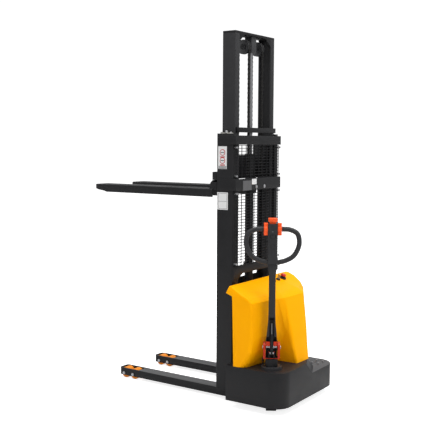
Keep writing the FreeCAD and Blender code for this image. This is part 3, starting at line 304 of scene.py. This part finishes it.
def finish(name, colour, second, roughness, metal=0.0, coat=0.0, mottle_scale=9.0, mottle=0.5, spread=0.08,
           grain_scale=900.0, grain_depth=0.00015, relief=0.25, smudge=0.06, stretch=(1, 1, 1), glow=0.5):
    """A material whose colour, gloss and relief vary over the surface."""
    material = bpy.data.materials.new(name)
    material.use_nodes = True
    nodes, links = material.node_tree.nodes, material.node_tree.links
    shader = nodes["Principled BSDF"]
    place = nodes.new("ShaderNodeTexCoord")
    mapping = nodes.new("ShaderNodeMapping")
    mapping.inputs["Scale"].default_value = stretch
    links.new(place.outputs["Object"], mapping.inputs["Vector"])
    surface = nodes.new("ShaderNodeGroup")
    surface.node_tree = UNEVEN
    links.new(mapping.outputs["Vector"], surface.inputs["Vector"])
    surface.inputs["Colour"].default_value = (*colour, 1)
    surface.inputs["Second Colour"].default_value = (*second, 1)
    values = {"Mottle Scale": mottle_scale, "Mottle": mottle, "Roughness": roughness,
              "Roughness Spread": spread, "Grain Scale": grain_scale, "Smudge": smudge}
    for key, value in values.items():
        surface.inputs[key].default_value = value
    links.new(surface.outputs["Colour"], shader.inputs["Base Color"])
    links.new(surface.outputs["Roughness"], shader.inputs["Roughness"])
    bump = nodes.new("ShaderNodeBump")
    bump.inputs["Strength"].default_value = relief
    bump.inputs["Distance"].default_value = grain_depth
    links.new(surface.outputs["Height"], bump.inputs["Height"])
    links.new(bump.outputs["Normal"], shader.inputs["Normal"])
    shader.inputs["Metallic"].default_value = metal
    shader.inputs["Coat Weight"].default_value = coat
    shader.inputs["Coat Roughness"].default_value = 0.12
    shader.inputs["Specular IOR Level"].default_value = glow
    return material


def linear(r, g, b):
    """Display colour of 0 to 255 a channel as the light it stands for."""
    values = []
    for c in (r, g, b):
        c = c / 255
        values.append(c / 12.92 if c <= 0.04045 else ((c + 0.055) / 1.055) ** 2.4)
    return tuple(values)


BLACK_PAINT = finish("black_powder_coat", linear(25, 25, 27), linear(33, 33, 35), 0.4, spread=0.1, glow=0.22)
# lighter grey for up-facing faces, a painted highlight where the top light falls
TOP_FACE_HIGHLIGHT = finish("top_face_painted_highlight", linear(62, 62, 64), linear(76, 76, 78), 0.36, spread=0.1, grain_scale=600,
                    glow=0.45)
RAIL_PAINT = finish("grey_black_coat", linear(34, 34, 36), linear(42, 42, 44), 0.4, spread=0.1, glow=0.3)
FRAME_PAINT = finish("dark_grey_coat", linear(50, 50, 52), linear(60, 60, 62), 0.42, glow=0.35)
YELLOW = finish("yellow_moulding", linear(255, 174, 0), linear(254, 168, 0), 0.4, coat=0.0, mottle_scale=4,
                mottle=0.6, spread=0.05, grain_scale=1400, relief=0.1, smudge=0.04, glow=0.04)
AMBER = finish("amber_polyurethane", linear(246, 148, 22), linear(234, 132, 16), 0.35, mottle_scale=40,
               grain_scale=500, relief=0.2, glow=0.3)
ZINC = finish("zinc_plate", linear(186, 186, 188), linear(158, 158, 162), 0.34, metal=1.0, mottle_scale=160,
              grain_scale=1600)
CHROME = finish("hard_chrome", linear(128, 128, 130), linear(116, 116, 119), 0.34, metal=0.55, mottle_scale=30,
                grain_scale=2200, relief=0.08, stretch=(1, 1, 0.05))
GROUND = finish("ground_steel", linear(110, 110, 112), linear(84, 84, 86), 0.4, metal=1.0, mottle_scale=60,
                grain_scale=1500)
OILED = finish("oiled_chain_steel", linear(60, 59, 58), linear(38, 37, 36), 0.45, metal=0.7, mottle_scale=120,
               mottle=0.8, grain_scale=900)
WIRE = finish("coated_wire", linear(26, 26, 28), linear(36, 36, 38), 0.5, glow=0.2)
SIGNAL_PLASTIC = finish("signal_red_plastic", linear(250, 92, 34), linear(240, 80, 28), 0.36, coat=0.08,
                        mottle_scale=60, grain_scale=1500, relief=0.12, glow=0.25)
SIGNAL_PAINT = finish("signal_red_coat", linear(190, 48, 16), linear(150, 36, 12), 0.4, mottle_scale=40,
                      glow=0.25)
STOP_RED = finish("stop_red_plastic", linear(206, 22, 18), linear(184, 16, 14), 0.3, coat=0.15, mottle_scale=80,
                  glow=0.3)
NYLON = finish("nylon", linear(200, 198, 190), linear(184, 182, 172), 0.5, mottle_scale=50)
TEXTURED = finish("textured_black_plastic", linear(36, 36, 38), linear(46, 46, 48), 0.5, mottle_scale=25,
                  grain_scale=1800, grain_depth=0.0003, relief=0.35, glow=0.3)
GRIP = finish("grip_rubber", linear(36, 36, 38), linear(48, 48, 50), 0.55, mottle_scale=30, grain_scale=1500,
              grain_depth=0.0003, relief=0.35, glow=0.35)
CABLE = finish("cable_sheath", linear(26, 26, 27), linear(38, 38, 39), 0.5, mottle_scale=60, grain_scale=1500,
               glow=0.3)
BATTERY = finish("battery_case", linear(78, 80, 84), linear(64, 66, 70), 0.55, mottle_scale=20, grain_scale=700)
CAST = finish("cast_aluminium", linear(140, 141, 143), linear(118, 119, 122), 0.45, metal=0.9, mottle_scale=30,
              grain_scale=450, grain_depth=0.0004, relief=0.4)
TREAD = finish("black_tread", linear(38, 38, 40), linear(54, 53, 52), 0.6, mottle_scale=30, grain_scale=700,
               glow=0.3)
LABEL = finish("pale_label", linear(224, 224, 224), linear(212, 212, 213), 0.45, mottle_scale=20, relief=0.05)
LABEL_RED = finish("label_red", linear(186, 52, 52), linear(170, 42, 42), 0.45, mottle_scale=20, relief=0.05)
PLATE_GREY = finish("rating_plate", linear(112, 112, 114), linear(98, 98, 100), 0.35, metal=0.6,
                    mottle_scale=90, relief=0.1)
FLOOR_PAINT = finish("studio_floor", (0.8, 0.8, 0.8), (0.78, 0.78, 0.78), 0.8, mottle_scale=1.5, relief=0.02,
                     glow=0.1)

# ------------------------------------------------------------------ studio
CAMERA_HEIGHT = 1804.5
CAMERA_RIGHT = -4931.0
CAMERA_BACK = -3120.0
CAMERA_AZIMUTH = -55.89
CAMERA_PITCH = 5.12
CAMERA_ROLL = 0.27
CAMERA_LENS = 68.03
FLOOR_LIFT = 0.8
AMBIENT = 0.55
REAR_POWER = 45
LEFT_POWER = 22
TOP_POWER = 520


def studio():
    camera = bpy.data.cameras.new("camera")
    camera.lens = CAMERA_LENS
    camera.sensor_width = 36
    camera.clip_end = 60
    stand = bpy.data.objects.new("camera", camera)
    bpy.context.scene.collection.objects.link(stand)
    turn = Matrix.Rotation(math.radians(CAMERA_AZIMUTH), 4, "Z")
    tip = Matrix.Rotation(math.radians(90 - CAMERA_PITCH), 4, "X")
    roll = Matrix.Rotation(math.radians(CAMERA_ROLL), 4, "Z")
    place = Matrix.Translation(at(CAMERA_RIGHT, CAMERA_BACK, CAMERA_HEIGHT))
    stand.matrix_world = place @ turn @ tip @ roll
    bpy.context.scene.camera = stand

    clear_selection()
    bpy.ops.mesh.primitive_plane_add(size=400, location=(0, 0, -0.0005))
    floor = settle(newest("floor"))
    nodes, links = FLOOR_PAINT.node_tree.nodes, FLOOR_PAINT.node_tree.links
    path = nodes.new("ShaderNodeLightPath")
    lift = nodes.new("ShaderNodeMath")
    lift.operation = "MULTIPLY"
    lift.inputs[1].default_value = FLOOR_LIFT
    links.new(path.outputs["Is Camera Ray"], lift.inputs[0])
    nodes["Principled BSDF"].inputs["Emission Color"].default_value = (1, 1, 1, 1)
    links.new(lift.outputs[0], nodes["Principled BSDF"].inputs["Emission Strength"])
    floor.data.materials.append(FLOOR_PAINT)

    world = bpy.data.worlds.new("soft_white")
    world.use_nodes = True
    nodes, links = world.node_tree.nodes, world.node_tree.links
    path = nodes.new("ShaderNodeLightPath")
    level = nodes.new("ShaderNodeMapRange")
    level.inputs["To Min"].default_value = AMBIENT
    level.inputs["To Max"].default_value = 1.05
    links.new(path.outputs["Is Camera Ray"], level.inputs["Value"])
    nodes["Background"].inputs["Color"].default_value = (1, 1, 1, 1)
    links.new(level.outputs["Result"], nodes["Background"].inputs["Strength"])
    bpy.context.scene.world = world
    bpy.context.scene.view_settings.view_transform = "Standard"

    def softbox(name, place, target, size, power):
        light = bpy.data.lights.new(name, "AREA")
        light.shape = "RECTANGLE"
        light.size = size[0]
        light.size_y = size[1]
        light.energy = power
        lamp = bpy.data.objects.new(name, light)
        bpy.context.scene.collection.objects.link(lamp)
        lamp.location = place
        lamp.rotation_euler = (Vector(target) - Vector(place)).to_track_quat("-Z", "Y").to_euler()

    softbox("rear_softbox", (-0.5, -7.0, 3.2), (0, 0, 0.9), (3, 3), REAR_POWER)
    softbox("left_softbox", (-7.0, 1.0, 3.4), (0, 0, 1.0), (3, 3), LEFT_POWER)
    softbox("top_softbox", (0.0, -0.8, 6.5), (0, 0, 0.6), (6, 6), TOP_POWER)


studio()

# ------------------------------------------------------------------ plain CAD pieces with a finish
for node, material in {
    "load_wheel_axles": ZINC, "mast_wear_pads": NYLON, "mesh_guard": WIRE, "guard_clips": ZINC,
    "lift_cylinder_tube": BLACK_PAINT, "chain_anchors": FRAME_PAINT, "piston_rod": CHROME,
    "inner_rollers": GROUND, "carriage_rollers_low": GROUND, "carriage_rollers_high": GROUND,
    "chain_wheels": GROUND, "hydraulic_hose": CABLE, "tiller_cable": CABLE, "gas_spring_tube": BLACK_PAINT,
    "gas_spring_rod": CHROME, "caster_plate": FRAME_PAINT, "caster_bolts": ZINC, "caster_fork": ZINC,
    "drive_motor": FRAME_PAINT, "drive_yoke": FRAME_PAINT, "drive_wheel_hub": CAST, "drive_wheel_tyre": TREAD,
    "slewing_ring": FRAME_PAINT, "motor_controller": CAST, "hydraulic_power_unit": CAST,
    "traction_batteries": BATTERY, "ignition_key": ZINC, "battery_gauge": TEXTURED, "key_switch": TEXTURED,
    "emergency_stop_base": TEXTURED, "rear_chain_runs": OILED, "front_chain_runs": OILED, "chain_wraps": OILED,
}.items():
    obj = NODES[node]
    if not obj.data.materials:
        obj.data.materials.append(material)
    for slot in obj.material_slots:
        slot.material = material

# ------------------------------------------------------------------ painted steel with rounded edges
for node, material, width in (
    ("chassis_body", BLACK_PAINT, 0.0028),
    ("leg_frame", BLACK_PAINT, 0.0012),
    ("outer_rails", BLACK_PAINT, 0.0012),
    ("mast_crossmembers", BLACK_PAINT, 0.0014),
    ("inner_rails", RAIL_PAINT, 0.0012),
    ("inner_crossbars", BLACK_PAINT, 0.0012),
    ("rod_head", FRAME_PAINT, 0.0015),
    ("carriage_frame", BLACK_PAINT, 0.0015),
    ("fork_left", BLACK_PAINT, 0.002),
    ("fork_right", BLACK_PAINT, 0.002),
    ("tiller_base", BLACK_PAINT, 0.002),
    ("tiller_bracket", SIGNAL_PAINT, 0.002),
    ("tilt_pin", ZINC, 0.001),
    ("tiller_arm", RAIL_PAINT, 0.0015),
    ("tiller_head", TEXTURED, 0.002),
    ("handle_ring", GRIP, 0.0),
    ("throttle_knobs", SIGNAL_PLASTIC, 0.0115),
    ("belly_button", SIGNAL_PLASTIC, 0.003),
    ("horn_button", TEXTURED, 0.001),
    ("lift_rocker", TEXTURED, 0.0015),
    ("emergency_stop_button", STOP_RED, 0.0),
    ("caster_wheel", TREAD, 0.0),
):
    softened(node, material, width)

# painted highlight: lighter grey on the up-facing faces of the lowered deck and the legs, where the top light
# falls; and the bracket's dark floor
step_top = low("caster_bolts").z + 0.014
recolour(bpy.data.objects["chassis_body_finish"], TOP_FACE_HIGHLIGHT,
         lambda c, n: n.z > 0.9 and abs(c.z - step_top) < 0.004)
recolour(bpy.data.objects["leg_frame_finish"], TOP_FACE_HIGHLIGHT,
         lambda c, n: n.z > 0.9 and 0.07 < c.z < 0.0795 and c.y > MAST_FRONT)
recolour(bpy.data.objects["tiller_bracket_finish"], BLACK_PAINT, lambda c, n: c.z < 0.392)

for node in NODES:
    if node.startswith("load_wheel_") and node != "load_wheel_axles":
        softened(node, AMBER, 0.0)

softened("hood", YELLOW, 0.004, 3, shade=80)


# ------------------------------------------------------------------ small pieces
def dress_up(name, objects, material, node):
    """Join small pieces into one object that rides with a CAD node's body."""
    obj = joined(name, objects)
    return dressed(obj, material, body_of(node))


def bolt(place, direction, radius, length=0.006):
    """Washer and domed head of a screw, standing on a face."""
    way = Vector(direction).normalized()
    start = Vector(place)
    washer = disc("washer", start - way * 0.001, way, radius * 1.45, 0.0022, 0.0004, 24, 1)
    head = disc("screw", start, way, radius, length, radius * 0.35, 24, 3)
    return [washer, head]


# lift chains: rows of oval link plates on their pins
LINK = 0.0158


def link_plates(x, y, z, odd):
    """The plates of one link and the pin at its lower end."""
    offsets = (-7.6, -2.6, 2.6, 7.6) if odd else (-5.1, 0.0, 5.1)
    pieces = []
    for offset in offsets:
        bpy.ops.mesh.primitive_cylinder_add(vertices=14, radius=0.0058, depth=0.0022,
                                            location=(x + offset * MM, y, z + LINK / 2),
                                            rotation=(0, math.pi / 2, 0))
        plate = newest("plate")
        plate.scale = (2.35, 1, 1)
        pieces.append(settle(plate))
    pieces.append(disc("pin", (x - 0.0098, y, z), (1, 0, 0), 0.0026, 0.0196, 0, 10))
    return pieces


def chain_strip(x, y, z0, z1):
    """A straight run of chain between two heights."""
    unit = joined("chain_unit", link_plates(x, y, z0, True) + link_plates(x, y, z0 + LINK, False))
    count = int((z1 - z0) / (2 * LINK))
    return apply_modifier(unit, "ARRAY", count=count, use_relative_offset=False, use_constant_offset=True,
                          constant_offset_displace=(0, 0, (z1 - z0) / count))


def chain_pair(node):
    """Both chains of one CAD node, built where its plain bars stand."""
    lowest, highest = low(node), high(node)
    reach = highest.x - 0.009
    y = (lowest.y + highest.y) / 2
    strips = [chain_strip(side * reach, y, lowest.z, highest.z) for side in (-1, 1)]
    obj = joined(node + "_links", strips)
    obj.data.materials.append(OILED)
    smooth(obj)
    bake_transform(obj)
    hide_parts(node)


chain_pair("rear_chain_runs")
chain_pair("front_chain_runs")

wheel_centre = Vector((0, middle("chain_wheels").y, middle("chain_wheels").z))
wrap_radius = high("chain_wraps").z - wheel_centre.z - 0.006
wrap_links = []
WRAP_COUNT = 9
for side in (-1, 1):
    for k in range(WRAP_COUNT):
        angle = math.pi * (k + 0.5) / WRAP_COUNT
        x = side * (high("chain_wraps").x - 0.009)
        plates = joined("wrap_link", link_plates(0, 0, -LINK / 2, k % 2 == 0))
        plates.matrix_world = (Matrix.Translation(wheel_centre + Vector((x, 0, 0)))
                               @ Matrix.Rotation(angle - math.pi / 2, 4, "X")
                               @ Matrix.Translation((0, 0, wrap_radius))
                               @ Matrix.Rotation(math.pi / 2, 4, "X"))
        wrap_links.append(settle(plates))
dress_up("chain_wrap_links", wrap_links, OILED, "chain_wraps")
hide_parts("chain_wraps")

# screws on the mast's straps and on the outer rails' tops
strap_rear = low("mast_crossmembers").y
strap_screws = []
for x, z in ((-36, 1494), (74, 1494)):
    strap_screws += bolt((x * MM, strap_rear, z * MM), (0, -1, 0), 0.009)
dress_up("strap_screws", strap_screws, ZINC, "mast_crossmembers")
RAIL_TOP = 1864
RAIL_SCREW_X = 286
top_screws = []
for side in (-1, 1):
    raised = at(side * RAIL_SCREW_X, -66, RAIL_TOP) + Vector((0, 0, 0.004))
    top_screws += bolt(raised, (0, 0, 1), 0.009, 0.016)
    top_screws += bolt(at(side * RAIL_SCREW_X, -100, RAIL_TOP), (0, 0, 1), 0.006, 0.012)
    top_screws += bolt(at(side * RAIL_SCREW_X, -24, RAIL_TOP), (0, 0, 1), 0.006, 0.012)
dress_up("rail_top_screws", top_screws, ZINC, "outer_rails")

# plain labels and the grey plate, without any words or pictures
LABEL_FACE = -304.8
MARK_HEIGHTS = (1735, 1680)
labels = [
    block("safety_label", at(-304.9, -81, 1623), at(-303.9, -10, 1777), 0.0003, 1),
    block("leg_label", at(-304.9, -91, 1344), at(-303.9, -4, 1463), 0.0003, 1),
    block("strap_label", at(-98, -157.2, 1512), at(-36, -155.6, 1550), 0.0003, 1),
]
dress_up("pale_labels", labels, LABEL, "outer_rails")
marks = []
for z in MARK_HEIGHTS:
    ring = disc("mark", at(LABEL_FACE, -46, z), (-1, 0, 0), 0.022, 0.0006, 0, 32)
    marks.append(ring)
    marks.append(block("mark_bar", at(-305.6, -66, z - 34), at(LABEL_FACE, -26, z - 27), 0, 1))
dress_up("label_marks", marks, LABEL_RED, "outer_rails")
dress_up("label_fills", [disc("mark_fill", at(-305.2, -46, z), (-1, 0, 0), 0.017, 0.0006, 0, 32)
                         for z in MARK_HEIGHTS], LABEL, "outer_rails")
lines = [block("figure", at(-306.2, -60, z - 3), at(-305.6, -32, z + 3), 0, 1) for z in MARK_HEIGHTS]
lines += [block("label_line", at(-305.3, -78, z), at(LABEL_FACE, -13, z + 4), 0, 1) for z in (1625, 1632, 1639)]
lines += [block("frame_line", at(-305.3, y, 1350), at(LABEL_FACE, y + 2, 1457), 0, 1) for y in (-84, -14)]
lines += [block("frame_line", at(-305.3, -84, z), at(LABEL_FACE, -12, z + 2), 0, 1) for z in (1350, 1400, 1455)]
dress_up("label_lines", lines, PLATE_GREY, "outer_rails")
plate = block("plate", at(-215, -157.4, 1474), at(-103, -155.6, 1541), 0.0003, 1)
dress_up("rating_plate", [plate], PLATE_GREY, "mast_crossmembers")

# ribs along the forks' tops near their heels, in dark grey on the black forks as a painted highlight along
# their crests
FORK_CENTRE = 216.5
RIB_START = 80
RIB_FOOT = 1482
RIB_TOP = 1484.4
ribs = []
for side in (-1, 1):
    for offset, reach in ((-48, 470), (0, 560), (48, 470)):
        x = side * FORK_CENTRE + offset
        ribs.append(block("rib", at(x - 3, RIB_START, RIB_FOOT), at(x + 3, reach, RIB_TOP), 0.001, 2))
dress_up("fork_ribs", ribs, FRAME_PAINT, "fork_left")


# ------------------------------------------------------------------ tiller details
TILLER_PLACE = at(-275.0, -430.5, 0)
TILLER_TURN = math.radians(-58.0)


def steered(obj):
    """From the tiller's own frame, heading -Y from the origin, to its place at rest."""
    obj.rotation_euler = (0, 0, TILLER_TURN)
    obj.location = TILLER_PLACE
    return settle(obj)


def tiller_block(name, x0, x1, y0, y1, z0, z1, width=0.002, segments=2):
    return steered(block(name, (x0 * MM, y0 * MM, z0 * MM), (x1 * MM, y1 * MM, z1 * MM), width, segments))


def tiller_disc(name, start, direction, radius, length, width=0.001, sides=32):
    return steered(disc(name, [v * MM for v in start], direction, radius * MM, length * MM, width, sides))


shoulders = []
for side in (-1, 1):
    x0, x1 = sorted((side * 12, side * 39))
    shoulders.append(tiller_block("shoulder", x0, x1, -28, -21, 447, 477, 0.002))
dress_up("arm_shoulders", shoulders, SIGNAL_PAINT, "tiller_arm")
dress_up("arm_foot_back", [tiller_block("foot_back", -34, 34, 12, 20, 446, 512)], BLACK_PAINT, "tiller_arm")
collars = [tiller_disc("collar", (side * 12 - 4, 0, 434), (1, 0, 0), 11, 8) for side in (-1, 1)]
collars += [tiller_disc("foot_collar", (side * 10 - 3, -30, 399), (1, 0, 0), 8, 6) for side in (-1, 1)]
dress_up("pin_collars", collars, ZINC, "tilt_pin")
dress_up("head_marks", [
    tiller_block("mark", -6, 4, -28.6, -27.6, 1214, 1219, 0),
    tiller_block("mark", -12, -3, -28.6, -27.6, 1190, 1192.5, 0),
    tiller_block("mark", 1, 9, -28.6, -27.6, 1190, 1192.5, 0),
], PLATE_GREY, "tiller_head")
grip_collars = [tiller_disc("collar", (side * 61 - (3 if side < 0 else 0), 0, 1232), (side, 0, 0), 18.2, 4)
                for side in (-1, 1)]
dress_up("grip_collars", grip_collars, TEXTURED, "handle_ring")
